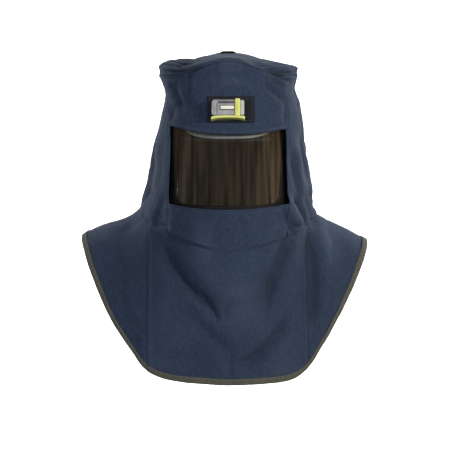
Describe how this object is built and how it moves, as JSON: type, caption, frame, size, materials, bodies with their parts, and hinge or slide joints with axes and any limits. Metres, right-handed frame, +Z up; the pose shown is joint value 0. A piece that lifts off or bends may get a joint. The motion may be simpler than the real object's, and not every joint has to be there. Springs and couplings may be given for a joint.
{
  "type": "arc flash hood",
  "caption": "Sewn arc flash hood with a curved tinted window, a shoulder cape with bound hem, a hard cap inside and a small forehead lamp.",
  "frame": {"origin": "top of the wearer's head, inside the cap", "axes": "+Z up, the wearer faces -Y, +X towards the right of someone looking at the front"},
  "size_m": [0.5709, 0.3818, 0.6132],
  "materials": {
    "hood_fabric": "heavy navy woven cloth, matt",
    "binding_tape": "dark grey woven tape",
    "visor_sheet": "tinted clear polycarbonate, glossy",
    "visor_edging": "black edging, satin",
    "carrier_bar": "black moulded plastic",
    "cap_shell": "light grey moulded shell",
    "hook_loop": "black hook-and-loop pile",
    "lamp_case": "silver grey moulded plastic",
    "lamp_face": "white plate",
    "lamp_window": "clear moulded lens over a bright reflector",
    "lamp_holder": "yellow-green soft plastic",
    "loop_webbing": "dark narrow webbing"
  },
  "bodies": {
    "root": {"crown_panel": "hood_fabric", "forehead_panel": "hood_fabric", "cheek_panel_left": "hood_fabric", "cheek_panel_right": "hood_fabric", "chin_panel": "hood_fabric", "back_panel": "hood_fabric", "bib_front": "hood_fabric", "bib_back": "hood_fabric", "cape_left": "hood_fabric", "cape_right": "hood_fabric", "hem_binding": "binding_tape", "visor": "visor_sheet", "visor_gasket": "visor_edging", "visor_carrier": "carrier_bar", "hard_cap": "cap_shell", "lamp_patch": "hook_loop", "lamp_body": "lamp_case", "lamp_plate": "lamp_face", "lamp_lens": "lamp_window", "lamp_clip": "lamp_holder", "hang_loop": "loop_webbing"}
  },
  "joints": []
}
